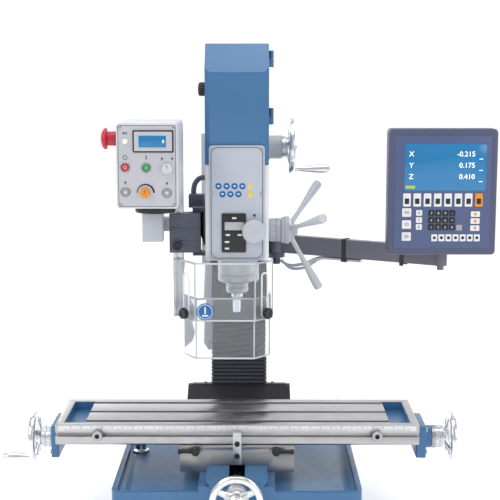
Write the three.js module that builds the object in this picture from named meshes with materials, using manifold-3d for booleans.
// Benchtop milling machine: dovetail column, cross table, tilting head with a quill, belt drive under a
// hinged cover, swing-away spindle guard, operating panel on a swing arm and a position readout.
// Millimetres. +X is right, +Y away from the operator and +Z up. X = 0 is the machine's centre plane,
// Y = 0 the spindle axis and Z = 0 the underside of the base.

import * as THREE from "three";
import { mergeVertices } from "three/addons/utils/BufferGeometryUtils.js";
import Module from "manifold-3d";

const wasm = await Module();
wasm.setup();

// ---------------------------------------------------------------- driving dimensions

const RUN = 0.4; // clearance between faces that slide or turn
const SEAT = 0.3; // gap between faces that are bolted together
const PRESS = 3; // travel of a push button
const SIDES = 20; // sides of an ordinary round piece

const base = {
  halfWidth: 235, front: -175, back: 350, height: 100, wall: 12,
  rim: 10, rimHeight: 12, foot: 54, footHole: 6.5, bracket: 15, rib: 12,
};
const bed = { halfWidth: 72, rise: 22, ridge: 13, neck: 50, flare: 8, trough: 15, troughDepth: 39 };
const saddle = {
  halfWidth: 110, height: 52.3, ridge: 12.6, neck: 38, flare: 7, channel: 14, screwDrop: 9.7,
  nutHalf: 18, nutWall: 5,
};
const table = {
  halfLength: 350, halfWidth: 90, thickness: 40, slotPitch: 63, slotWidth: 12, slotNeck: 9,
  slotHead: 20, slotDepth: 17, pocket: 41, pocketEnd: 15, pocketDepth: 18, pocketMargin: 17,
  stopGroove: 8.5, stopGrooveDrop: 15, stopGrooveDepth: 9,
};
const screw = { radius: 8, yHeight: 13 };
const endBracket = { left: 15, right: 19, front: 50, back: 45, top: 15, bottom: 79, housing: 16 };
const wheel = { radius: 50, tube: 6.5, gripRadius: 43.5, dial: 22.5, dialLength: 23, hub: 15, web: 5, depth: 26 };
const zWheel = { radius: 62.5, tube: 7, gripRadius: 47, dial: 23, dialLength: 10, hub: 19, web: 5, depth: 20 };
const grip = { length: 58, root: 7, swell: 9.5, stud: 3.5 };
const zGrip = { length: 76, root: 7, swell: 10.5, stud: 4 };
const tableStop = { radius: 10, thickness: 12, inset: 82, socket: 5 };
const stopBlock = { halfWidth: 8.3, depth: 14, rise: 29, drop: 35 };
const lockLever = { left: -80, right: 75, hub: 8, hubLength: 15, stud: 3.6, studLength: 28, arm: 34 };

const column = {
  halfWidth: 55, front: 200, back: 330, height: 640, neck: 46, dovetail: 14, neckDepth: 12,
  wall: 13, frontWall: 25, slot: 18, cap: 12, web: 10, pad: 15, padMargin: 20,
};
const zScrew = { radius: 10, behindFront: 58, gear: 28, pinion: 14, shaft: 7.5, crankDrop: 30, face: 8 };
const crankHousing = { flange: 31, flangeDepth: 6, radius: 25, depth: 36 };
const scaleCover = { width: 24.7, depth: 18, length: 449, behindFront: 28, corner: 12 };
const bellows = { depth: 19.7, halfWidth: 60, bottom: 7 };
const wayCover = { halfWidth: 109, thickness: 2.6, shelf: 16 };

const carriage = { halfWidth: 62, depth: 50, bottom: 295, height: 180, boss: 54, nutHalf: 15, nutHeight: 30 };
const head = {
  halfWidth: 60, front: -75, back: 125, bottom: 317, top: 498, tiltHeight: 405,
  pocketHalf: 44, pocketFront: 66, pocketBack: 112, pocketFloor: 14,
};
const quill = { radius: 39, bottom: 265, length: 170, rackDepth: 4.6 };
const spindle = { nose: 22.5, noseLength: 21, journal: 19.6, top: 12.5, topHeight: 700, socket: 8.3 };
const cutter = { collar: 12.5, collarLength: 9, shank: 8, length: 30 };
const capstan = {
  pinion: 11, height: 360, dial: 23, dialEnd: 86, flange: 26, flangeEnd: 91, hub: 27, hubEnd: 105,
  knob: 11, knobEnd: 119, leverRoot: 4.5, leverTip: 9, reach: 124, cone: 28, firstLever: 72.3,
};
const fineFeed = { x: 32, height: 375, radius: 22, length: 21, shaft: 4, shaftLength: 36 };
const plate = { halfWidth: 52, thickness: 3, bottom: 319, top: 535 };

const cover = { top: 723, shelf: 537, wall: 2.5, bevel: 9, seam: -15, slopeFoot: 670, slopeBack: -25 };
const doorHinge = { x: 65, y: -12, knuckle: 4.6, pin: 1.8, length: 31, heights: [571, 679] };
const latch = { y: -25, height: 638, radius: 13, length: 13.5, stud: 3, camBack: 24, camHalf: 6 };
const motor = { y: 72, radius: 43, height: 150, shaft: 7 };
const belt = { height: 666, width: 16, thickness: 5, spindleRadius: 38, motorRadius: 22, flange: 3 };
const sleeve = { radius: 20, bottom: 450, top: 692 };

const guardAxis = { x: -77, y: -20, pin: 5 };
const guardBracket = { left: -129, right: -70, front: -52, back: -18, bottom: 329, top: 404, groove: 1.5 };
const post = { x: -113, y: -35, width: 20, bottom: 205, top: 571, groove: 6, grooveDepth: 4 };
const shield = {
  thickness: 3, upperBottom: 204, upperTop: 316.5, lowerBottom: 130, lowerTop: 249, step: 5,
  ahead: 20, beside: 7, frontLeft: -79, frontRight: 34, cornerDepth: 35, sideDepth: 27,
};
const guardSwitch = { front: 36, back: 62, left: -97, bottom: 405, top: 431, hose: 5.5, rise: 32 };

const arm = { hingeX: -75, hingeY: 56, bottom: 357, height: 28, width: 20, left: -176, pin: 5, swing: 13 };
arm.reach = { front: -100, width: 24 };
const panel = { left: -211, right: -102, front: -200, back: -50, bottom: 431, top: 582, corner: 5 };
const swivel = { x: -152, y: -88, radius: 37.5, bottom: 412, thickness: 13, neck: 28, pin: 6, pinLength: 17 };
const button = { radius: 6.4, proud: 4, length: 14 };
const knob = { shaft: 3, shaftLength: 11 };
const speedKnob = { radius: 8.7, length: 15 };
const selectorKnob = { radius: 9.5, length: 9.6 };
const estop = { y: -150, height: 552, head: 19.5, headLength: 11, neck: 13, neckLength: 16, stem: 5 };

const pivot = { x: 81, y: 260, pin: 6, lug: 18, lugHeight: 11, plate: 7, gland: 8, glandLength: 15 };
const readoutArm = { bottom: 283, height: 38, width: 20, endX: 409, endY: 79 };
const readout = {
  halfWidth: 106, centre: 400, front: 18, back: 60.5, bottom: 314, top: 561, corner: 8,
  tiltY: 75, tiltHeight: 405, lug: 8, lugHalf: 19, pin: 4,
};
const yoke = { foot: 17, footHeight: 8, ear: 8, front: 67.5, back: 84, bolt: 7, stud: 5 };
const cable = { radius: 3.6 };

// ---------------------------------------------------------------- heights that follow from them

const bedTop = base.height + bed.rise;
const saddleBottom = bedTop + RUN;
const saddleTop = saddleBottom + saddle.height;
const tableBottom = saddleTop + SEAT;
const tableTop = tableBottom + table.thickness;
const xScrewZ = saddleTop - saddle.screwDrop;
const yScrewZ = base.height + screw.yHeight;
const above = (height) => tableTop + height; // heights on the head are given above the table
const columnFoot = base.height + column.pad;
const columnTop = columnFoot + column.height;
const crankZ = columnTop - zScrew.crankDrop;
const zScrewY = column.front + zScrew.behindFront;
const carriageFront = column.front - RUN - carriage.depth;
const capstanY = quill.radius - quill.rackDepth + SEAT * 2 + capstan.pinion;
const boreRadius = screw.radius + RUN;

// ---------------------------------------------------------------- finishes

const finish = (color, roughness, metalness) =>
  new THREE.MeshStandardMaterial({ color, roughness, metalness, flatShading: true });
const blue = () => finish(0x3f74a3, 0.45, 0.1);
const white = () => finish(0xe6e8ec, 0.45, 0.05);
const lightGrey = () => finish(0xc9ccd2, 0.5, 0.05);
const darkGrey = () => finish(0x4b5160, 0.55, 0.1);
const black = () => finish(0x202228, 0.6, 0);
const steel = () => finish(0xb4b8be, 0.32, 1);
const chrome = () => finish(0xd8dadd, 0.15, 1);
const rubber = () => finish(0x2b2c30, 0.85, 0);
const clear = () => finish(0xdfe7ef, 0.1, 0);
const coloured = (color) => finish(color, 0.4, 0);

// ---------------------------------------------------------------- shape helpers

function solid(geometry) {
  const bare = geometry.clone();
  bare.deleteAttribute("normal");
  bare.deleteAttribute("uv");
  const merged = mergeVertices(bare, 1e-4);
  const vertProperties = new Float32Array(merged.attributes.position.array);
  const triVerts = new Uint32Array(merged.index.array);
  return new wasm.Manifold(new wasm.Mesh({ numProp: 3, vertProperties, triVerts }));
}

const join = (first, ...others) => others.reduce((whole, piece) => whole.add(piece), first);
const cut = (first, ...others) => others.reduce((whole, piece) => whole.subtract(piece), first);

function box(x0, x1, y0, y1, z0, z1) {
  const geometry = new THREE.BoxGeometry(x1 - x0, y1 - y0, z1 - z0);
  return solid(geometry.translate((x0 + x1) / 2, (y0 + y1) / 2, (z0 + z1) / 2));
}

// Turns a shape built along +Y so that it lies along the axis, with its axis through (u, v), which are
// the two other coordinates in alphabetical order.
function along(axis, geometry, u, v) {
  if (axis === "x") return geometry.rotateZ(-Math.PI / 2).translate(0, u, v);
  if (axis === "y") return geometry.translate(u, 0, v);
  return geometry.rotateX(Math.PI / 2).translate(u, v, 0);
}

function rod(axis, radius, from, to, u, v, sides = SIDES) {
  const geometry = new THREE.CylinderGeometry(radius, radius, to - from, sides);
  return solid(along(axis, geometry.translate(0, (from + to) / 2, 0), u, v));
}

// A turned shape from [radius, distance along the axis] pairs, listed from its low end to its high end.
function latheGeometry(profile, sides = SIDES) {
  return new THREE.LatheGeometry(profile.map(([r, t]) => new THREE.Vector2(r, t)), sides);
}

function turned(axis, profile, u, v, sides = SIDES) {
  return solid(along(axis, latheGeometry(profile, sides), u, v));
}

// An outline in the two other coordinates, in alphabetical order, extruded along the axis.
function prism(axis, outline, from, to, curveSegments = 6) {
  const shape = outline instanceof THREE.Shape ? outline : new THREE.Shape(outline.map(([a, b]) => new THREE.Vector2(a, b)));
  const geometry = new THREE.ExtrudeGeometry(shape, { depth: to - from, bevelEnabled: false, curveSegments });
  const turn = new THREE.Matrix4();
  const [i, j, k] = [new THREE.Vector3(1, 0, 0), new THREE.Vector3(0, 1, 0), new THREE.Vector3(0, 0, 1)];
  if (axis === "x") geometry.applyMatrix4(turn.makeBasis(j, k, i)).translate(from, 0, 0);
  if (axis === "y") geometry.applyMatrix4(turn.makeBasis(i, k, j.negate())).translate(0, to, 0);
  if (axis === "z") geometry.translate(0, 0, from);
  return solid(geometry);
}

const mirrored = (half) => [...half, ...half.map(([a, b]) => [-a, b]).reverse()];

function roundedRectangle(a0, a1, b0, b1, radius) {
  const shape = new THREE.Shape();
  shape.absarc(a1 - radius, b0 + radius, radius, -Math.PI / 2, 0);
  shape.absarc(a1 - radius, b1 - radius, radius, 0, Math.PI / 2);
  shape.absarc(a0 + radius, b1 - radius, radius, Math.PI / 2, Math.PI);
  shape.absarc(a0 + radius, b0 + radius, radius, Math.PI, (3 * Math.PI) / 2);
  shape.closePath();
  return shape;
}

// A bent sheet: the centre line's points, thickened to both sides.
function sheetOutline(points, thickness) {
  const sides = [[], []];
  points.forEach(([x, y], n) => {
    const before = points[Math.max(n - 1, 0)];
    const after = points[Math.min(n + 1, points.length - 1)];
    const into = new THREE.Vector2(x - before[0], y - before[1]).normalize();
    const out = new THREE.Vector2(after[0] - x, after[1] - y).normalize();
    const middle = into.clone().add(out).normalize();
    const side = new THREE.Vector2(-middle.y, middle.x);
    const straight = n === 0 ? out : into;
    const spread = thickness / 2 / Math.abs(side.dot(new THREE.Vector2(-straight.y, straight.x)));
    sides[0].push([x + side.x * spread, y + side.y * spread]);
    sides[1].push([x - side.x * spread, y - side.y * spread]);
  });
  return [...sides[1], ...sides[0].reverse()];
}

function tube(points, radius, steps, sides = 8) {
  const path = new THREE.CatmullRomCurve3(points.map((p) => new THREE.Vector3(...p)));
  const section = new THREE.Shape(
    Array.from({ length: sides }, (_, n) => {
      const angle = (2 * Math.PI * n) / sides;
      return new THREE.Vector2(radius * Math.cos(angle), radius * Math.sin(angle));
    }),
  );
  return solid(new THREE.ExtrudeGeometry(section, { steps, extrudePath: path, bevelEnabled: false }));
}

const machine = new THREE.Group();

function add(name, shape, material, group = machine) {
  const { vertProperties, triVerts } = shape.getMesh();
  const geometry = new THREE.BufferGeometry();
  geometry.setAttribute("position", new THREE.BufferAttribute(vertProperties, 3));
  geometry.setIndex(new THREE.BufferAttribute(triVerts, 1));
  geometry.computeVertexNormals();
  const mesh = new THREE.Mesh(geometry, material);
  mesh.name = name;
  group.add(mesh);
  return mesh;
}

// ---------------------------------------------------------------- base and column

function baseCasting() {
  const inner = base.halfWidth - base.wall;
  const rimInside = base.halfWidth - base.rim;
  const columnPadHalf = column.halfWidth + column.padMargin;
  let body = prism(
    "z", roundedRectangle(-base.halfWidth, base.halfWidth, base.front, base.back, 20), 0,
    base.height + base.rimHeight,
  );
  body = cut(
    body,
    box(-rimInside, rimInside, base.front + base.rim, base.back - base.rim, base.height, base.height + 50),
    box(-inner, inner, base.front + base.wall, base.back - base.wall, -1, base.height - base.wall),
  );
  body = body.add(box(-base.rib, base.rib, base.front + 1, base.back - 1, 0, base.height - base.wall / 2));
  for (const side of [-1, 1])
    for (const y of [base.front + base.foot / 2, base.back - base.foot / 2]) {
      const x = side * (base.halfWidth - base.foot / 2);
      const half = base.foot / 2 - base.wall / 2;
      body = body.add(box(x - half, x + half, y - half, y + half, 0, base.height - base.wall / 2));
      body = body.subtract(rod("z", base.footHole, -1, base.height + 1, x, y, 12));
    }
  const ridge = [
    [bed.trough, base.height + bed.rise + bed.ridge - bed.troughDepth],
    [bed.trough, bedTop + bed.ridge],
    [bed.neck + bed.flare, bedTop + bed.ridge],
    [bed.neck, bedTop],
    [bed.halfWidth, bedTop],
    [bed.halfWidth, base.height - base.wall / 2],
  ];
  const bedBack = column.front - SEAT - bellows.depth;
  body = join(
    body,
    prism("y", [...ridge.map(([a, b]) => [-a, b]).reverse(), ...ridge], base.front, bedBack),
    box(-columnPadHalf, columnPadHalf, bedBack - 1, base.back - base.rim, base.height - 1, columnFoot),
    box(-2 * bed.trough, 2 * bed.trough, base.front - base.bracket, base.front + 1,
      yScrewZ - 2 * screw.radius - 14, bedTop),
    box(-bed.trough - 1, bed.trough + 1, base.front, base.front + base.wall, base.height - 1, bedTop),
  );
  return cut(
    body,
    box(-bed.trough, bed.trough, base.front + base.wall, bedBack - 1,
      base.height + bed.rise + bed.ridge - bed.troughDepth, bedTop),
    rod("y", boreRadius, base.front - base.bracket - 1, base.front + base.wall + 1, 0, yScrewZ, 14),
  );
}

function columnCasting() {
  const inside = column.halfWidth - column.wall;
  const neckStart = column.front + column.dovetail;
  const neckEnd = neckStart + column.neckDepth;
  const half = [
    [column.slot, column.front],
    [column.halfWidth, column.front],
    [column.neck, neckStart],
    [column.neck, neckEnd],
    [column.halfWidth, neckEnd],
    [column.halfWidth, column.back],
  ];
  const outer = prism("z", mirrored(half).filter(([a]) => Math.abs(a) > column.slot), columnFoot + SEAT, columnTop);
  const cavityFront = column.front + column.frontWall;
  const neckInside = column.neck - column.wall + 5;
  const body = cut(
    outer,
    box(-neckInside, neckInside, cavityFront, neckEnd + 6, columnFoot - 1, columnTop - column.cap),
    box(-inside, inside, neckEnd + 5, column.back - column.wall, columnFoot - 1, columnTop - column.cap),
    box(-column.slot, column.slot, column.front - 1, cavityFront + 1, columnFoot - 1, columnTop - column.cap),
    rod("x", zScrew.shaft + RUN, 0, column.halfWidth + 1, zScrewY, crankZ, 16),
  );
  const webTop = crankZ - zScrew.gear;
  const web = box(-inside - 1, inside + 1, neckEnd + 4, column.back - column.wall + 1, webTop - column.web, webTop);
  return body.add(cut(web, rod("z", zScrew.radius + RUN, webTop - 50, webTop + 50, 0, zScrewY, 14)));
}

function crankHousingShape() {
  const bore = zScrew.shaft + RUN;
  const start = column.halfWidth + SEAT;
  const profile = [
    [bore, start],
    [crankHousing.flange, start],
    [crankHousing.flange, start + crankHousing.flangeDepth],
    [crankHousing.radius, start + crankHousing.flangeDepth],
    [crankHousing.radius, start + crankHousing.depth],
    [bore, start + crankHousing.depth],
    [bore, start],
  ];
  return turned("x", profile, zScrewY, crankZ);
}

function scaleCoverShape() {
  const right = -column.halfWidth - SEAT;
  const left = right - scaleCover.width;
  const low = columnTop - scaleCover.length;
  const outline = [[right, low], [right, columnTop], [left, columnTop], [left, low + scaleCover.corner]];
  const front = column.front + scaleCover.behindFront;
  return prism("y", [...outline, [left + scaleCover.corner, low]], front, front + scaleCover.depth);
}

function bellowsShape() {
  const back = column.front - SEAT;
  const top = above(carriage.bottom) - SEAT;
  return box(-bellows.halfWidth, bellows.halfWidth, back - bellows.depth, back, above(bellows.bottom), top);
}

function wayCoverShape() {
  const back = column.front - SEAT;
  const clampFront = back - wayCover.shelf;
  const top = above(bellows.bottom) - 1;
  const front = table.halfWidth + 2 * SEAT;
  const outline = sheetOutline(
    [[front, tableBottom + 2], [clampFront, top - wayCover.thickness], [back, top - wayCover.thickness]],
    wayCover.thickness,
  );
  return prism("x", outline, -wayCover.halfWidth, wayCover.halfWidth);
}

// ---------------------------------------------------------------- saddle and table

function saddleCasting() {
  const top = bed.neck + bed.flare + RUN;
  const half = [
    [bed.neck + RUN, saddleBottom],
    [top, bedTop + bed.ridge + RUN],
  ];
  const outline = [
    [-saddle.halfWidth, saddleBottom], ...half.map(([a, b]) => [-a, b]), ...half.reverse(),
    [saddle.halfWidth, saddleBottom], [saddle.halfWidth, saddleTop], [-saddle.halfWidth, saddleTop],
  ];
  const wide = saddle.neck + saddle.flare;
  const ridge = [
    [-saddle.neck, saddleTop - 1], [saddle.neck, saddleTop - 1], [saddle.neck, saddleTop],
    [wide, saddleTop + saddle.ridge], [-wide, saddleTop + saddle.ridge], [-saddle.neck, saddleTop],
  ];
  const channelFloor = xScrewZ - saddle.channel;
  const nutBottom = yScrewZ - boreRadius - saddle.nutWall + 1;
  const nutSide = bed.trough - 2 * RUN - 1;
  const body = join(
    prism("y", outline, -table.halfWidth, table.halfWidth),
    prism("x", ridge, -saddle.halfWidth, saddle.halfWidth),
    box(-nutSide, nutSide, -saddle.nutHalf, saddle.nutHalf, nutBottom, bedTop + bed.ridge + 2),
  );
  const channel = box(
    -saddle.halfWidth - 1, saddle.halfWidth + 1, -saddle.channel, saddle.channel, channelFloor,
    saddleTop + saddle.ridge + 1,
  );
  const nut = box(
    -saddle.nutHalf, saddle.nutHalf, -saddle.channel - 1, saddle.channel + 1, channelFloor - 1,
    xScrewZ + boreRadius + saddle.nutWall,
  );
  const bores = [
    rod("x", boreRadius, -saddle.nutHalf - 1, saddle.nutHalf + 1, 0, xScrewZ, 14),
    rod("y", boreRadius, -saddle.nutHalf - 1, saddle.nutHalf + 1, 0, yScrewZ, 14),
  ];
  for (const x of [lockLever.left, lockLever.right]) {
    const depth = lockLever.studLength + 2;
    bores.push(rod("y", lockLever.stud + RUN, -table.halfWidth - 1, depth - table.halfWidth, x, xScrewZ, 12));
  }
  return cut(body.subtract(channel).add(nut), ...bores);
}

function stopBlockShape() {
  const back = -table.halfWidth - SEAT;
  const { halfWidth, depth, rise, drop } = stopBlock;
  return box(-halfWidth, halfWidth, back - depth, back, tableBottom - drop, tableBottom + rise);
}

function lockLeverShape(side) {
  const front = -table.halfWidth - SEAT;
  const arm = new THREE.CylinderGeometry(3.4, 5, lockLever.arm, 10);
  arm.translate(0, lockLever.arm / 2, 0).rotateZ(-side * (Math.PI - 0.6));
  arm.translate(0, front - lockLever.hubLength / 2, 0);
  return join(
    rod("y", lockLever.hub, front - lockLever.hubLength, front, 0, 0, 16),
    rod("y", lockLever.stud, front - 1, front + lockLever.studLength, 0, 0, 12),
    solid(arm),
  );
}

function tableCasting() {
  const wide = saddle.neck + saddle.flare + RUN;
  const groove = [
    [-saddle.neck - RUN, tableBottom - 1], [saddle.neck + RUN, tableBottom - 1],
    [saddle.neck + RUN, tableBottom], [wide, tableBottom + saddle.ridge + RUN],
    [-wide, tableBottom + saddle.ridge + RUN], [-saddle.neck - RUN, tableBottom],
  ];
  const tools = [prism("x", groove, -table.halfLength - 1, table.halfLength + 1)];
  const pocketOuter = table.halfLength - table.pocketEnd;
  const pocketInner = pocketOuter - table.pocket;
  for (const row of [-1, 0, 1]) {
    const y = row * table.slotPitch;
    const neck = table.slotWidth / 2;
    const wider = table.slotHead / 2;
    const floor = tableTop - table.slotDepth;
    const reach = pocketInner + 1;
    const slot = [
      [y - wider, floor], [y + wider, floor], [y + wider, tableTop - table.slotNeck],
      [y + neck, tableTop - table.slotNeck], [y + neck, tableTop + 1], [y - neck, tableTop + 1],
      [y - neck, tableTop - table.slotNeck], [y - wider, tableTop - table.slotNeck],
    ];
    tools.push(prism("x", slot, -reach, reach));
  }
  const edge = table.halfWidth - table.pocketMargin;
  for (const side of [-1, 1]) {
    const ends = [side * pocketInner, side * pocketOuter].sort((a, b) => a - b);
    tools.push(box(...ends, -edge, edge, tableTop - table.pocketDepth, tableTop + 1));
  }
  const grooveTop = tableTop - table.stopGrooveDrop;
  tools.push(
    box(-table.halfLength - 1, table.halfLength + 1, -table.halfWidth - 1,
      table.stopGrooveDepth - table.halfWidth, grooveTop - table.stopGroove, grooveTop),
  );
  const chamfer = 3;
  const section = [
    [-table.halfWidth, tableBottom + chamfer], [chamfer - table.halfWidth, tableBottom],
    [table.halfWidth - chamfer, tableBottom], [table.halfWidth, tableBottom + chamfer],
    [table.halfWidth, tableTop], [-table.halfWidth, tableTop],
  ];
  return cut(prism("x", section, -table.halfLength, table.halfLength), ...tools);
}

function tableStopShape() {
  const face = -table.halfWidth - SEAT;
  const key = table.stopGroove / 2 - RUN;
  return cut(
    join(
      rod("y", tableStop.radius, face - tableStop.thickness, face, 0, 0, 14),
      box(-key, key, face - 1, table.stopGrooveDepth - table.halfWidth - RUN, -key, key),
    ),
    rod("y", tableStop.socket, face - tableStop.thickness - 1, face - tableStop.thickness / 2, 0, 0, 6),
  );
}

function endBracketShape(side) {
  const inner = table.halfLength + SEAT;
  const depth = side < 0 ? endBracket.left : endBracket.right;
  const ends = [side * inner, side * (inner + depth)].sort((a, b) => a - b);
  let body = box(
    ...ends, -endBracket.front, endBracket.back, tableTop - endBracket.bottom, tableTop - endBracket.top,
  );
  if (side > 0)
    body = body.add(rod("x", wheel.dial, ends[1] - 1, ends[1] + endBracket.housing, 0, xScrewZ));
  return body.subtract(rod("x", boreRadius, ends[0] - 1, ends[1] + endBracket.housing + 1, 0, xScrewZ, 14));
}

const leftFace = -table.halfLength - SEAT - endBracket.left - SEAT;
const rightFace = table.halfLength + SEAT + endBracket.right + endBracket.housing + SEAT;
const frontFace = base.front - base.bracket - SEAT;
const crankFace = column.halfWidth + SEAT + crankHousing.depth + SEAT;

// ---------------------------------------------------------------- handwheels

// A dished three-spoke wheel with a dial behind it. It is built along +Z, which points to the operator,
// and sits with Z = 0 on its bearing's face. The shaft ends inside its hub.
const wheelShaftDepth = (w) => w.dialLength + w.depth - w.web - 2;
const wheelRimHeight = (w) => w.dialLength + w.depth - w.tube - 3;

function wheelShape(w, shaft, gripSize, gripAngle) {
  const bore = shaft + SEAT;
  const top = w.dialLength + w.depth;
  const rimCentre = w.radius - w.tube;
  const rimHeight = wheelRimHeight(w);
  const rim = Array.from({ length: 6 }, (_, n) => {
    const angle = Math.PI + 0.45 + (n / 5) * (2 * Math.PI - 0.9);
    return [rimCentre + w.tube * Math.cos(angle), rimHeight + w.tube * Math.sin(angle)];
  });
  const end = wheelShaftDepth(w) + SEAT;
  const profile = [
    [0, end], [bore, end], [bore, 0], [w.dial, 0], [w.dial, w.dialLength], [w.hub, w.dialLength],
    [w.hub, w.dialLength + w.web], ...rim, [w.hub, w.dialLength + 2 * w.web + 1], [w.hub, top], [0, top],
  ];
  let body = turned("z", profile, 0, 0, 20);
  const inner = w.hub + 4;
  const outer = rimCentre - w.tube - 1;
  for (let n = 0; n < 3; n += 1) {
    const middle = gripAngle + Math.PI / 3 + (2 * Math.PI * n) / 3;
    const window = new THREE.Shape();
    window.absarc(0, 0, outer, middle - 0.78, middle + 0.78);
    window.absarc(0, 0, inner, middle + 0.55, middle - 0.55, true);
    window.closePath();
    body = body.subtract(prism("z", window, w.dialLength - 1, top + 1, 3));
  }
  if (!gripSize) return body;
  const stud = [w.gripRadius * Math.cos(gripAngle), w.gripRadius * Math.sin(gripAngle)];
  const studTop = rimHeight + w.tube + gripSize.length - 8;
  return body.add(rod("z", gripSize.stud, rimHeight, studTop, ...stud, 12));
}

// A turned grip along +Z, bored for its stud, with Z = 0 at the rim.
function gripShape(size) {
  const bore = size.stud + RUN;
  const { length, root, swell } = size;
  const end = length - 6;
  const profile = [
    [0, end], [bore, end], [bore, 0], [root, 0], [swell, length * 0.35], [swell - 1.2, length * 0.6],
    [swell, length * 0.85], [swell - 4, length], [0, length],
  ];
  return turned("z", profile, 0, 0, 14);
}

function gripPlace(w, gripAngle) {
  const height = wheelRimHeight(w) + w.tube + RUN;
  return [w.gripRadius * Math.cos(gripAngle), w.gripRadius * Math.sin(gripAngle), height];
}

// Wheels and grips are placed by a group whose +Z points out of the machine.
function wheelGroup(x, y, z, turnX, turnY) {
  const group = new THREE.Group();
  group.position.set(x, y, z);
  group.rotation.set(turnX, turnY, 0);
  machine.add(group);
  return group;
}

function addWheel(group, name, w, shaft, gripName, gripSize, gripAngle) {
  add(name, wheelShape(w, shaft, gripSize, gripAngle), chrome(), group);
  if (gripName) add(gripName, gripShape(gripSize), chrome(), group).position.set(...gripPlace(w, gripAngle));
}

// ---------------------------------------------------------------- height drive

function zCrankShaftShape() {
  const start = zScrew.gear - zScrew.face - 2;
  const end = crankFace + wheelShaftDepth(zWheel);
  const tip = zScrew.pinion - 4 - SEAT;
  const wide = zScrew.pinion - SEAT * 2;
  const profile = [
    [0, start], [tip, start], [tip, start + 2], [wide, zScrew.gear], [wide, zScrew.gear + 5],
    [zScrew.shaft, zScrew.gear + 5], [zScrew.shaft, end], [0, end],
  ];
  return turned("x", profile, zScrewY, crankZ, 20);
}

function zScrewShape() {
  const pitch = crankZ - zScrew.pinion;
  const under = pitch - 8;
  const profile = [
    [0, columnFoot + 4], [zScrew.radius, columnFoot + 4], [zScrew.radius, under],
    [zScrew.gear - SEAT * 2, under], [zScrew.gear - SEAT * 2, pitch - SEAT * 2],
    [zScrew.gear - zScrew.face, pitch - SEAT * 2 + 3.4], [0, pitch - SEAT * 2 + 3.4],
  ];
  return turned("z", profile, 0, zScrewY, 20);
}

function carriageCasting() {
  const back = column.front - RUN;
  const bottom = above(carriage.bottom);
  const top = bottom + carriage.height;
  const neckStart = column.front + column.dovetail;
  const legBack = neckStart + column.neckDepth - RUN;
  const plateShape = box(-carriage.halfWidth, carriage.halfWidth, carriageFront, back, bottom, top);
  const legs = [-1, 1].map((side) => {
    const leg = [
      [side * (column.halfWidth + RUN * 1.5), back - 1], [side * (column.halfWidth + RUN * 1.5), back],
      [side * (column.neck + RUN * 1.5), neckStart + RUN], [side * (column.neck + RUN * 1.5), legBack],
      [side * carriage.halfWidth, legBack], [side * carriage.halfWidth, back - 1],
    ];
    return prism("z", side > 0 ? leg : leg.reverse(), bottom, top);
  });
  const nutBottom = bottom + 5;
  const nut = box(-carriage.nutHalf, carriage.nutHalf, back - 1, zScrewY + zScrew.radius + 8, nutBottom,
    nutBottom + carriage.nutHeight);
  const boss = rod("y", carriage.boss, head.back + RUN, carriageFront + 1, 0, above(head.tiltHeight));
  return cut(
    join(plateShape, ...legs, nut, boss),
    rod("z", zScrew.radius + RUN, nutBottom - 1, nutBottom + carriage.nutHeight + 1, 0, zScrewY, 14),
  );
}

// ---------------------------------------------------------------- head

function headCasting() {
  const bottom = above(head.bottom);
  const top = above(head.top);
  const quillTop = above(quill.bottom + quill.length) + 6;
  const outline = roundedRectangle(-head.halfWidth, head.halfWidth, head.front, head.back, 6);
  const armLow = above(arm.bottom);
  const armHigh = armLow + arm.height;
  const lug = 11;
  const lugRight = 1 - head.halfWidth;
  const lugs = [armLow - RUN - lug, armHigh + RUN].map((z) =>
    box(arm.hingeX - arm.swing, lugRight, arm.hingeY - arm.swing, arm.hingeY + arm.swing, z, z + lug),
  );
  return cut(
    join(
      prism("z", outline, bottom, top), ...lugs,
      rod("z", arm.pin, armLow - RUN - 1, armHigh + RUN + 1, arm.hingeX, arm.hingeY, 16),
    ),
    rod("z", quill.radius + RUN, bottom - 1, quillTop, 0, 0, 28),
    rod("z", sleeve.radius + RUN, quillTop - 1, top + 1, 0, 0),
    rod("x", capstan.pinion + RUN, -15, head.halfWidth + 1, capstanY, above(capstan.height), 14),
    rod("y", fineFeed.shaft + RUN, head.front - 1, head.front + fineFeed.shaftLength - 6, fineFeed.x,
      above(fineFeed.height), 12),
    box(-head.pocketHalf, head.pocketHalf, head.pocketFront, head.pocketBack, bottom + head.pocketFloor, top + 1),
  );
}

function frontPlateShape() {
  const back = head.front - SEAT;
  const outline = roundedRectangle(-plate.halfWidth, plate.halfWidth, above(plate.bottom), above(plate.top), 6);
  return cut(
    prism("y", outline, back - plate.thickness, back),
    rod("y", fineFeed.shaft + RUN, back - 10, back + 10, fineFeed.x, above(fineFeed.height), 12),
  );
}

function quillShape() {
  const bottom = above(quill.bottom);
  const flat = quill.radius - quill.rackDepth;
  return cut(
    rod("z", quill.radius, bottom, bottom + quill.length, 0, 0, 28),
    rod("z", spindle.journal + RUN, bottom - 1, bottom + quill.length + 1, 0, 0),
    box(-18, 18, flat, quill.radius + 5, bottom + 20, bottom + quill.length + 1),
  );
}

function spindleShape() {
  const quillBottom = above(quill.bottom);
  const noseTop = quillBottom - SEAT;
  const noseBottom = noseTop - spindle.noseLength;
  const shoulder = quillBottom + quill.length + SEAT;
  const socketEnd = noseTop + 2;
  const profile = [
    [0, socketEnd], [spindle.socket, socketEnd], [spindle.socket, noseBottom], [spindle.nose, noseBottom],
    [spindle.nose, noseTop], [spindle.journal, noseTop], [spindle.journal, shoulder],
    [spindle.top, shoulder], [spindle.top, above(spindle.topHeight)], [0, above(spindle.topHeight)],
  ];
  return turned("z", profile, 0, 0);
}

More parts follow.
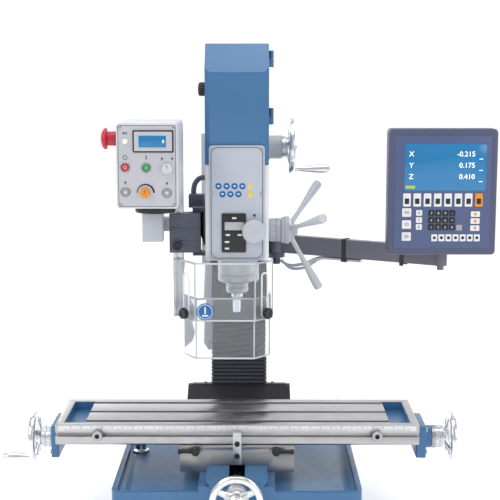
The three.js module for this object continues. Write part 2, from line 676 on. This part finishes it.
function cutterShape() {
  const noseBottom = above(quill.bottom) - SEAT - spindle.noseLength;
  const top = noseBottom - SEAT;
  const collarBottom = top - cutter.collarLength;
  const profile = [
    [0, collarBottom - cutter.length], [cutter.shank, collarBottom - cutter.length],
    [cutter.shank, collarBottom], [cutter.collar, collarBottom], [cutter.collar, top],
    [cutter.shank, top], [cutter.shank, top + spindle.noseLength - 2], [0, top + spindle.noseLength - 2],
  ];
  return turned("z", profile, 0, 0, 20);
}

function capstanShape() {
  const z = above(capstan.height);
  const side = head.halfWidth + RUN;
  const profile = [
    [0, -12], [capstan.pinion, -12], [capstan.pinion, side], [capstan.dial, side],
    [capstan.dial, capstan.dialEnd], [capstan.flange, capstan.dialEnd], [capstan.flange, capstan.flangeEnd],
    [capstan.hub, capstan.flangeEnd], [capstan.hub, capstan.hubEnd - 3], [capstan.hub - 6, capstan.hubEnd],
    [capstan.knob, capstan.hubEnd], [capstan.knob, capstan.knobEnd - 2], [capstan.knob - 3, capstan.knobEnd],
    [0, capstan.knobEnd],
  ];
  let body = turned("x", profile, capstanY, z);
  const { reach, leverRoot: thin, leverTip: thick } = capstan;
  const lever = [
    [0, 0], [thin, 0], [thin, reach * 0.2], [thick, reach - 2], [thick - 2, reach], [0, reach],
  ];
  const middle = (capstan.flangeEnd + capstan.hubEnd) / 2 - 1;
  for (let n = 0; n < 3; n += 1) {
    const geometry = latheGeometry(lever, 10);
    geometry.translate(0, capstan.hub - 10, 0).rotateZ(THREE.MathUtils.degToRad(-capstan.cone));
    geometry.rotateX(THREE.MathUtils.degToRad(90 + capstan.firstLever + 120 * n));
    body = body.add(solid(geometry.translate(middle, capstanY, z)));
  }
  return body;
}

function fineFeedShape() {
  const back = head.front - SEAT - plate.thickness - RUN;
  const z = above(fineFeed.height);
  const front = back - fineFeed.length;
  const profile = [
    [0, front], [fineFeed.radius - 3, front], [fineFeed.radius, front + 3], [fineFeed.radius, back],
    [fineFeed.shaft, back], [fineFeed.shaft, back + fineFeed.shaftLength - 6], [0, back + fineFeed.shaftLength - 6],
  ];
  return turned("y", profile, fineFeed.x, z);
}

// ---------------------------------------------------------------- drive and its cover

function bevelledOutline(inset, front, frontBevelled) {
  const x = head.halfWidth - inset;
  const y0 = front;
  const y1 = head.back - inset;
  const b = cover.bevel - inset * 0.4;
  const right = frontBevelled ? [[x - b, y0], [x, y0 + b]] : [[x, y0]];
  return [...right, [x, y1 - b], [x - b, y1], [b - x, y1], [-x, y1 - b], ...right.map(([a, c]) => [-a, c]).reverse()];
}

// The knuckle of a door hinge. Its strap reaches over the seam, and is joined to its own wall only.
function knuckle(from, to, side) {
  const strap = side < 0 ? [cover.seam - 9, doorHinge.y] : [doorHinge.y, cover.seam + 13];
  const ownWall = side < 0 ? [strap[0], cover.seam - RUN] : strap;
  return join(
    rod("z", doorHinge.knuckle, from, to, doorHinge.x, doorHinge.y, 14),
    box(head.halfWidth + RUN, doorHinge.x, ...strap, from, to),
    box(head.halfWidth - 1, doorHinge.x, ...ownWall, from, to),
  );
}

function motorCoverShape() {
  const foot = above(head.top) + SEAT;
  const shelf = above(cover.shelf);
  const top = above(cover.top);
  const { wall } = cover;
  let body = join(
    prism("z", bevelledOutline(0, head.front, true), foot, shelf),
    prism("z", bevelledOutline(0, cover.seam, false), shelf - 1, top),
  );
  body = cut(
    body,
    prism("z", bevelledOutline(wall, head.front + wall, true), foot - 1, shelf - wall),
    prism("z", bevelledOutline(wall, cover.seam + wall, false), shelf - wall - 1, top - wall),
    box(wall - head.halfWidth, head.halfWidth - wall, cover.seam - 1, cover.seam + wall + 1, shelf, top - wall),
    rod("z", sleeve.radius + 4, shelf - wall - 1, shelf + 1, 0, 0),
  );
  for (const height of doorHinge.heights) {
    const low = above(height);
    const middle = low + doorHinge.length / 2;
    body = body.add(knuckle(middle + RUN / 2, low + doorHinge.length, 1));
    body = body.add(rod("z", doorHinge.pin, low + 1, middle + 2, doorHinge.x, doorHinge.y, 10));
  }
  return body;
}

function beltCoverShape() {
  const low = above(cover.shelf) + RUN;
  const top = above(cover.top);
  const foot = above(cover.slopeFoot);
  const back = cover.seam - RUN;
  const { wall } = cover;
  const side = [[head.front, low], [back, low], [back, top], [cover.slopeBack, top], [head.front, foot]];
  const hollow = [
    [head.front + wall, low + wall], [back + 1, low + wall], [back + 1, top - wall],
    [cover.slopeBack + wall / 2, top - wall], [head.front + wall, foot - wall / 2],
  ];
  const wide = head.halfWidth;
  const shell = cut(
    prism("x", side, -wide, wide).intersect(prism("z", bevelledOutline(0, head.front, true), low - 1, top + 1)),
    prism("x", hollow, wall - wide, wide - wall)
      .intersect(prism("z", bevelledOutline(wall, head.front + wall, true), low - 1, top + 1)),
  );
  const bores = [
    rod("x", latch.stud + RUN, -wide - 1, 5 - wide, latch.y, above(latch.height), 12),
    rod("z", sleeve.radius + 4, low - 1, low + wall + 1, 0, 0),
  ];
  let body = shell;
  for (const height of doorHinge.heights) {
    const start = above(height);
    const middle = start + doorHinge.length / 2;
    body = body.add(knuckle(start, middle - RUN / 2, -1));
    bores.push(rod("z", doorHinge.pin + RUN, start - 1, middle + 1, doorHinge.x, doorHinge.y, 10));
  }
  return cut(body, ...bores);
}

function latchShape() {
  const z = above(latch.height);
  const wallOutside = -head.halfWidth - RUN;
  const wallInside = cover.wall - head.halfWidth + 2 * RUN;
  return join(
    rod("x", latch.radius, wallOutside - latch.length, wallOutside, latch.y, z, 14),
    rod("x", latch.stud, wallOutside - 1, wallInside + 3, latch.y, z, 12),
    box(wallInside, wallInside + 3, latch.y - latch.camHalf, latch.y + latch.camBack, z - latch.camHalf,
      z + latch.camHalf),
  );
}

const motorFoot = above(head.top) + 2 * SEAT;

function motorShape() {
  const top = motorFoot + motor.height;
  const bolts = [-1, 1].flatMap((sx) => [-1, 1].map((sy) => [sx, sy]));
  const corner = motor.radius * 0.72;
  return cut(
    join(
      rod("z", motor.radius, motorFoot, top, 0, motor.y),
      rod("z", motor.radius * 0.45, top - 1, top + 5, 0, motor.y, 20),
      ...bolts.map(([sx, sy]) => rod("z", 5, motorFoot, top + 2, sx * corner, motor.y + sy * corner, 10)),
    ),
    rod("z", motor.shaft + RUN, top - 25, top + 10, 0, motor.y, 14),
  );
}

function pulleyProfile(radius, inner, low, high) {
  const z = above(belt.height);
  const under = z - SEAT - belt.flange;
  const over = z + belt.width + SEAT + belt.flange;
  const lip = radius + 3;
  return [
    ...low, [inner, under], [lip, under], [lip, under + belt.flange], [radius, under + belt.flange],
    [radius, over - belt.flange], [lip, over - belt.flange], [lip, over], [inner, over], ...high,
  ];
}

function motorPulleyShape() {
  const bottom = motorFoot + motor.height - 18;
  const top = above(belt.height) + belt.width + 8;
  const ends = [[[0, bottom], [motor.shaft, bottom]], [[motor.shaft, top], [0, top]]];
  return turned("z", pulleyProfile(belt.motorRadius, motor.shaft, ...ends), 0, motor.y, 14);
}

function spindlePulleyShape() {
  const bore = spindle.top + RUN;
  const low = above(sleeve.bottom);
  const high = above(sleeve.top);
  const ends = [[[bore, low], [sleeve.radius, low]], [[sleeve.radius, high], [bore, high], [bore, low]]];
  return turned("z", pulleyProfile(belt.spindleRadius, sleeve.radius, ...ends), 0, 0, 24);
}

// One loop around both pulleys: two arcs and the straight runs that touch them.
function beltLoop(target, extra) {
  const lean = Math.asin((belt.spindleRadius - belt.motorRadius) / motor.y);
  target.absarc(0, 0, belt.spindleRadius + extra, lean, -Math.PI - lean, true);
  target.absarc(0, motor.y, belt.motorRadius + extra, Math.PI - lean, lean, true);
  target.closePath();
  return target;
}

function beltShape() {
  const z = above(belt.height);
  const outer = beltLoop(new THREE.Shape(), SEAT + belt.thickness);
  const inner = beltLoop(new THREE.Shape(), SEAT);
  return cut(prism("z", outer, z, z + belt.width, 14), prism("z", inner, z - 1, z + belt.width + 1, 14));
}

// ---------------------------------------------------------------- spindle guard

function guardSwitchShape() {
  const plateLeft = -head.halfWidth - SEAT - 5;
  const plateRight = -head.halfWidth - SEAT;
  const low = above(guardSwitch.bottom);
  const high = above(guardSwitch.top);
  const bracketLow = above(guardBracket.bottom);
  const bracketHigh = above(guardBracket.top);
  const middleY = (guardSwitch.front + guardSwitch.back) / 2;
  const hoseX = guardSwitch.left + guardSwitch.hose + 4;
  const hoseTop = high + guardSwitch.rise;
  const hose = tube(
    [
      [hoseX, middleY, high - 3], [hoseX, middleY, high + 8], [hoseX + 4, middleY, hoseTop - 9],
      [hoseX + 14, middleY, hoseTop], [plateRight - 2, middleY, hoseTop],
    ],
    guardSwitch.hose, 12,
  );
  const ear = (z) => box(guardAxis.x - 9, plateLeft + 1, guardAxis.y - 9, guardAxis.y + 9, z, z + 9);
  return join(
    box(plateLeft, plateRight, guardAxis.y - 9, guardAxis.y + 9, bracketLow - RUN - 9, high),
    box(plateLeft, plateRight, guardAxis.y - 9, guardSwitch.back, low, high),
    box(guardSwitch.left, plateLeft + 1, guardSwitch.front, guardSwitch.back, low, high),
    ear(bracketLow - RUN - 9), ear(bracketHigh + RUN),
    rod("z", guardAxis.pin, bracketLow - RUN - 1, bracketHigh + RUN + 1, guardAxis.x, guardAxis.y, 16),
    hose,
  );
}

function guardBracketShape() {
  const { left, right, front, back, groove } = guardBracket;
  const bottom = above(guardBracket.bottom);
  const top = above(guardBracket.top);
  const half = post.width / 2 + RUN;
  const grooves = [1, 2].map((n) => {
    const z = bottom + ((top - bottom) * n) / 3;
    return box(left - 1, right + 1, front - 1, front + groove, z - 1.2, z + 1.2);
  });
  return cut(
    box(left, right, front, back, bottom, top),
    box(post.x - half, post.x + half, post.y - half, post.y + half, bottom - 1, top + 1),
    rod("z", guardAxis.pin + RUN, bottom - 1, top + 1, guardAxis.x, guardAxis.y, 16),
    box(guardAxis.x, right + 1, back - 9, back + 1, bottom - 1, top + 1),
    ...grooves,
  ).add(cut(
    rod("z", 7, bottom, top, guardAxis.x, guardAxis.y, 14),
    rod("z", guardAxis.pin + RUN, bottom - 1, top + 1, guardAxis.x, guardAxis.y, 16),
  ));
}

function guardPostShape() {
  const half = post.width / 2;
  const grooves = [-1, 1].flatMap((side) => {
    const ends = [side * (half - post.grooveDepth), side * (half + 1)].sort((a, b) => a - b);
    const z = [above(post.bottom) - 1, above(post.top) + 1];
    const g = post.groove / 2;
    return [
      box(post.x + ends[0], post.x + ends[1], post.y - g, post.y + g, ...z),
      box(post.x - g, post.x + g, post.y + ends[0], post.y + ends[1], ...z),
    ];
  });
  return cut(
    box(post.x - half, post.x + half, post.y - half, post.y + half, above(post.bottom), above(post.top)),
    ...grooves,
  );
}

// The shields' plan: a flange on the post, a slanted side, the front, a slanted corner and the right side.
// The lower shield is the same sheet one step further in, without the flange.
function shieldShape(step, bottom, top) {
  const flangeY = post.y - post.width / 2 - SEAT - shield.thickness / 2;
  const front = head.front - shield.ahead + step;
  const side = head.halfWidth + shield.beside - step;
  const corner = front + shield.cornerDepth - step / 2;
  const plan = [
    [post.x + 5 + 1.3 * step, flangeY - step / 2], [shield.frontLeft + step / 3, front],
    [shield.frontRight - step / 3, front], [side, corner], [side, corner + shield.sideDepth],
  ];
  if (!step) plan.unshift([post.x - post.width / 2 + 1, flangeY]);
  return prism("z", sheetOutline(plan, shield.thickness), above(bottom), above(top));
}

// ---------------------------------------------------------------- operating panel

function controlArmShape() {
  const low = above(arm.bottom);
  const high = low + arm.height;
  const half = arm.width / 2;
  const body = join(
    box(arm.left, arm.hingeX, arm.hingeY - half, arm.hingeY + half, low, high),
    rod("z", arm.swing, low, high, arm.hingeX, arm.hingeY, 14),
    box(arm.left, arm.left + arm.reach.width, arm.reach.front, arm.hingeY, low, high),
    box(arm.left, swivel.x + 14, arm.reach.front, swivel.y + 22, low, above(swivel.bottom) - RUN),
  );
  return cut(
    body,
    rod("z", arm.pin + RUN, low - 1, high + 1, arm.hingeX, arm.hingeY, 16),
    rod("z", swivel.pin + RUN, above(swivel.bottom) - swivel.pinLength - 1, above(swivel.bottom) + 1,
      swivel.x, swivel.y, 16),
  );
}

const panelAt = (across, down) => [
  panel.left + (panel.right - panel.left) * across, above(panel.top - (panel.top - panel.bottom) * down),
];
const places = {
  stop: panelAt(0.148, 0.513), start: panelAt(0.488, 0.518), selector: panelAt(0.826, 0.528),
  jogUp: panelAt(0.148, 0.804), jogDown: panelAt(0.82, 0.814), speed: panelAt(0.468, 0.812),
};

function controlBoxShape() {
  const bottom = above(panel.bottom);
  const outline = roundedRectangle(panel.left, panel.right, bottom, above(panel.top), panel.corner);
  const neckLow = above(swivel.bottom);
  const body = join(
    prism("y", outline, panel.front, panel.back),
    rod("z", swivel.radius, neckLow, neckLow + swivel.thickness, swivel.x, swivel.y, 24),
    rod("z", swivel.neck, neckLow + 1, bottom + 1, swivel.x, swivel.y),
    rod("z", swivel.pin, neckLow - swivel.pinLength, neckLow + 1, swivel.x, swivel.y, 16),
    tube(
      [[panel.right - 22, -95, bottom + 3], [panel.right - 22, -95, bottom - 7], [panel.right - 32, -94, bottom - 15],
        [swivel.x + 12, -92, neckLow + 6]],
      4, 8,
    ),
  );
  const bores = ["stop", "start", "jogUp", "jogDown"].map((key) =>
    rod("y", button.radius + RUN, panel.front - 1, panel.front + button.length - button.proud + PRESS + 1,
      ...places[key], 14),
  );
  for (const key of ["selector", "speed"])
    bores.push(rod("y", knob.shaft + RUN, panel.front - 1, panel.front + knob.shaftLength + 1, ...places[key], 12));
  bores.push(rod("x", estop.stem + RUN, panel.left - 1, panel.left + 24, estop.y, above(estop.height), 16));
  return cut(body, ...bores);
}

function pushButtonShape([x, z]) {
  return rod("y", button.radius, panel.front - button.proud, panel.front - button.proud + button.length, x, z, 14);
}

function turnKnobShape([x, z], size) {
  const back = panel.front - RUN;
  const front = back - size.length;
  const pointer = box(x - 1.6, x + 1.6, front - 2.5, front + 1, z - size.radius * 0.9, z + size.radius * 0.9);
  return join(
    rod("y", size.radius, front, back, x, z, 14),
    rod("y", knob.shaft, back - 1, back + knob.shaftLength, x, z, 12),
    pointer,
  );
}

function estopShape() {
  const z = above(estop.height);
  const root = panel.left - PRESS - 2;
  const neckEnd = root - estop.neckLength;
  const profile = [
    [0, neckEnd - estop.headLength], [estop.head * 0.55, neckEnd - estop.headLength + 1],
    [estop.head * 0.9, neckEnd - estop.headLength * 0.62], [estop.head, neckEnd - 3], [estop.head * 0.95, neckEnd],
    [estop.neck, neckEnd], [estop.neck, root], [estop.stem, root], [estop.stem, panel.left + 16], [0, panel.left + 16],
  ];
  return turned("x", profile, estop.y, z, 20);
}

// ---------------------------------------------------------------- position readout

const armLow = above(readoutArm.bottom);
const armTop = armLow + readoutArm.height;

function pivotBracketShape() {
  const side = column.halfWidth + SEAT;
  const lugs = [armLow - RUN - pivot.lugHeight, armTop + RUN];
  const reach = pivot.lug * 0.95;
  return join(
    box(side, side + pivot.plate, pivot.y - 26, pivot.y + 26, lugs[0] - 6, armTop + pivot.lugHeight + 6),
    ...lugs.flatMap((z) => [
      box(side + 1, pivot.x, pivot.y - reach, pivot.y + reach, z, z + pivot.lugHeight),
      rod("z", pivot.lug, z, z + pivot.lugHeight, pivot.x, pivot.y, 20),
    ]),
    rod("z", pivot.pin, lugs[0] + 1, lugs[1] + 1, pivot.x, pivot.y, 16),
    rod("z", pivot.gland, lugs[0] - pivot.glandLength, lugs[0] + 1, pivot.x, pivot.y, 16),
  );
}

const armRun = new THREE.Vector2(readoutArm.endX - pivot.x, readoutArm.endY - pivot.y);
const armAngle = armRun.angle();

// Built along +X from the pivot, then turned to its rest angle by the mesh.
function readoutArmShape() {
  const half = readoutArm.width / 2;
  const length = armRun.length();
  const hub = column.halfWidth + SEAT + pivot.plate + RUN;
  return cut(
    join(
      box(0, length, -half, half, armLow, armTop),
      rod("z", Math.min(pivot.lug, pivot.x - hub), armLow, armTop, 0, 0, 20),
      rod("z", half + 3, armLow, armTop, length, 0, 20),
      rod("z", yoke.bolt, armLow - 9, armLow + 1, length, 0, 6),
    ),
    rod("z", pivot.pin + RUN, armLow - 1, armTop + 1, 0, 0, 16),
    rod("z", yoke.stud + RUN, armTop - 24, armTop + 1, length, 0, 16),
  );
}

// Two armoured leads under the arm, in the arm's own frame: from the gland's side to the arm's underside.
function readoutCableShape() {
  const r = cable.radius;
  const start = armLow - RUN - pivot.lugHeight - pivot.glandLength / 2;
  const near = pivot.gland + SEAT + 1.5;
  const high = armLow - r - 1.5;
  const first = [
    [near, 0, start], [near + 22, 2, start - 9], [near + 58, 1, start - 2], [near + 90, 0, high - 2],
    [near + 120, 0, high], [near + 190, 0, high],
  ];
  const second = first.map(([x, y, z], n) => [x, y + 1.6 * r, z - [0, 7, 9, 3, 0, 0][n]]);
  const clip = box(near + 150, near + 158, -r - 2, 2.6 * r + 2, high - r - 1, armLow - SEAT);
  return join(tube(first, r, 11), tube(second, r, 11), clip);
}

function yokeShape() {
  const low = armTop + RUN;
  const tiltZ = above(readout.tiltHeight);
  const inner = readout.lugHalf + RUN;
  const outer = inner + yoke.ear;
  const x = readoutArm.endX;
  const { front, back } = yoke;
  const ears = [[x - outer, x - inner], [x + inner, x + outer]].map(([a, b]) =>
    box(a, b, front, back, low, tiltZ + readout.lug),
  );
  return join(
    box(x - outer, x + outer, front, back, low, low + yoke.footHeight), ...ears,
    rod("z", yoke.foot, low, low + yoke.footHeight, x, readoutArm.endY, 20),
    rod("z", yoke.stud, low - 20, low + 1, x, readoutArm.endY, 16),
    rod("x", readout.pin, x - inner - 1, x + inner + 1, readout.tiltY, tiltZ, 16),
  );
}

function readoutShape() {
  const { centre, halfWidth, front, back, lug, lugHalf } = readout;
  const tiltZ = above(readout.tiltHeight);
  const x = readoutArm.endX;
  const outline = roundedRectangle(
    centre - halfWidth, centre + halfWidth, above(readout.bottom), above(readout.top), readout.corner,
  );
  return cut(
    join(
      prism("y", outline, front, back),
      box(x - lugHalf, x + lugHalf, back - 1, readout.tiltY, tiltZ - lug, tiltZ + lug),
      rod("x", lug, x - lugHalf, x + lugHalf, readout.tiltY, tiltZ, 14),
    ),
    rod("x", readout.pin + RUN, x - lugHalf - 1, x + lugHalf + 1, readout.tiltY, tiltZ, 16),
  );
}

// ---------------------------------------------------------------- the machine

add("base_casting", baseCasting(), blue());
add("column", columnCasting(), blue());
add("z_crank_housing", crankHousingShape(), lightGrey());
add("z_scale_cover", scaleCoverShape(), lightGrey());
add("column_bellows", bellowsShape(), rubber());
add("rear_way_cover", wayCoverShape(), rubber());

add("saddle", saddleCasting(), lightGrey());
add("stop_block", stopBlockShape(), lightGrey());
add("x_lock_left", lockLeverShape(-1), black()).position.set(lockLever.left, 0, xScrewZ);
add("x_lock_right", lockLeverShape(1), black()).position.set(lockLever.right, 0, xScrewZ);
add("table", tableCasting(), steel());
add("left_end_bracket", endBracketShape(-1), blue());
add("right_end_bracket", endBracketShape(1), blue());
const stopX = table.halfLength - tableStop.inset;
const stopZ = tableTop - table.stopGrooveDrop - table.stopGroove / 2;
add("stop_left", tableStopShape(), steel()).position.set(-stopX, 0, stopZ);
add("stop_right", tableStopShape(), steel()).position.set(stopX, 0, stopZ);

const DOWN = -Math.PI / 2;
const shaftEnd = wheelShaftDepth(wheel);
add("x_screw", rod("x", screw.radius, leftFace - shaftEnd, rightFace + shaftEnd, 0, xScrewZ, 14), steel());
addWheel(
  wheelGroup(leftFace, 0, xScrewZ, 0, -Math.PI / 2), "left_handwheel", wheel, screw.radius, "x_grip", grip, Math.PI,
);
addWheel(wheelGroup(rightFace, 0, xScrewZ, 0, Math.PI / 2), "right_handwheel", wheel, screw.radius, null, null, 0);
const yScrewEnd = column.front - 3 * bellows.depth;
add("y_screw", rod("y", screw.radius, frontFace - shaftEnd, yScrewEnd, 0, yScrewZ, 14), steel());
addWheel(
  wheelGroup(0, frontFace, yScrewZ, Math.PI / 2, 0), "y_handwheel", wheel, screw.radius, "y_grip", grip, DOWN,
);
addWheel(
  wheelGroup(crankFace, zScrewY, crankZ, 0, Math.PI / 2), "z_handwheel", zWheel, zScrew.shaft, "z_grip", zGrip, 0,
);
add("z_crank_shaft", zCrankShaftShape(), steel());
add("z_screw", zScrewShape(), steel());
add("head_carriage", carriageCasting(), white());

add("head_casting", headCasting(), white());
add("front_plate", frontPlateShape(), lightGrey());
add("quill", quillShape(), steel());
add("spindle", spindleShape(), steel());
add("cutter", cutterShape(), steel());
add("capstan", capstanShape(), lightGrey());
add("fine_feed_knob", fineFeedShape(), lightGrey());
add("motor_cover", motorCoverShape(), blue());
add("belt_cover", beltCoverShape(), blue());
add("latch_knob", latchShape(), black());
add("motor", motorShape(), darkGrey());
add("motor_pulley", motorPulleyShape(), steel());
add("spindle_pulley", spindlePulleyShape(), steel());
add("drive_belt", beltShape(), rubber());

add("guard_switch", guardSwitchShape(), darkGrey());
add("guard_bracket", guardBracketShape(), darkGrey());
add("guard_post", guardPostShape(), steel());
add("guard_upper", shieldShape(0, shield.upperBottom, shield.upperTop), clear());
add("guard_lower", shieldShape(shield.step, shield.lowerBottom, shield.lowerTop), clear());

add("control_arm", controlArmShape(), lightGrey());
add("control_box", controlBoxShape(), white());
add("estop_button", estopShape(), coloured(0xc92a35));
add("stop_button", pushButtonShape(places.stop), coloured(0xd84a55));
add("start_button", pushButtonShape(places.start), coloured(0x3f9a52));
add("jog_up_button", pushButtonShape(places.jogUp), coloured(0x8e929a));
add("jog_down_button", pushButtonShape(places.jogDown), coloured(0x8e929a));
add("selector_knob", turnKnobShape(places.selector, selectorKnob), lightGrey());
add("speed_knob", turnKnobShape(places.speed, speedKnob), coloured(0xe8922e));

add("dro_pivot_bracket", pivotBracketShape(), black());
const armGroup = new THREE.Group();
armGroup.position.set(pivot.x, pivot.y, 0);
armGroup.rotation.z = armAngle;
machine.add(armGroup);
add("dro_arm", readoutArmShape(), darkGrey(), armGroup);
add("dro_cables", readoutCableShape(), lightGrey(), armGroup);
add("dro_yoke", yokeShape(), black());
add("dro_display", readoutShape(), darkGrey());

export default machine;
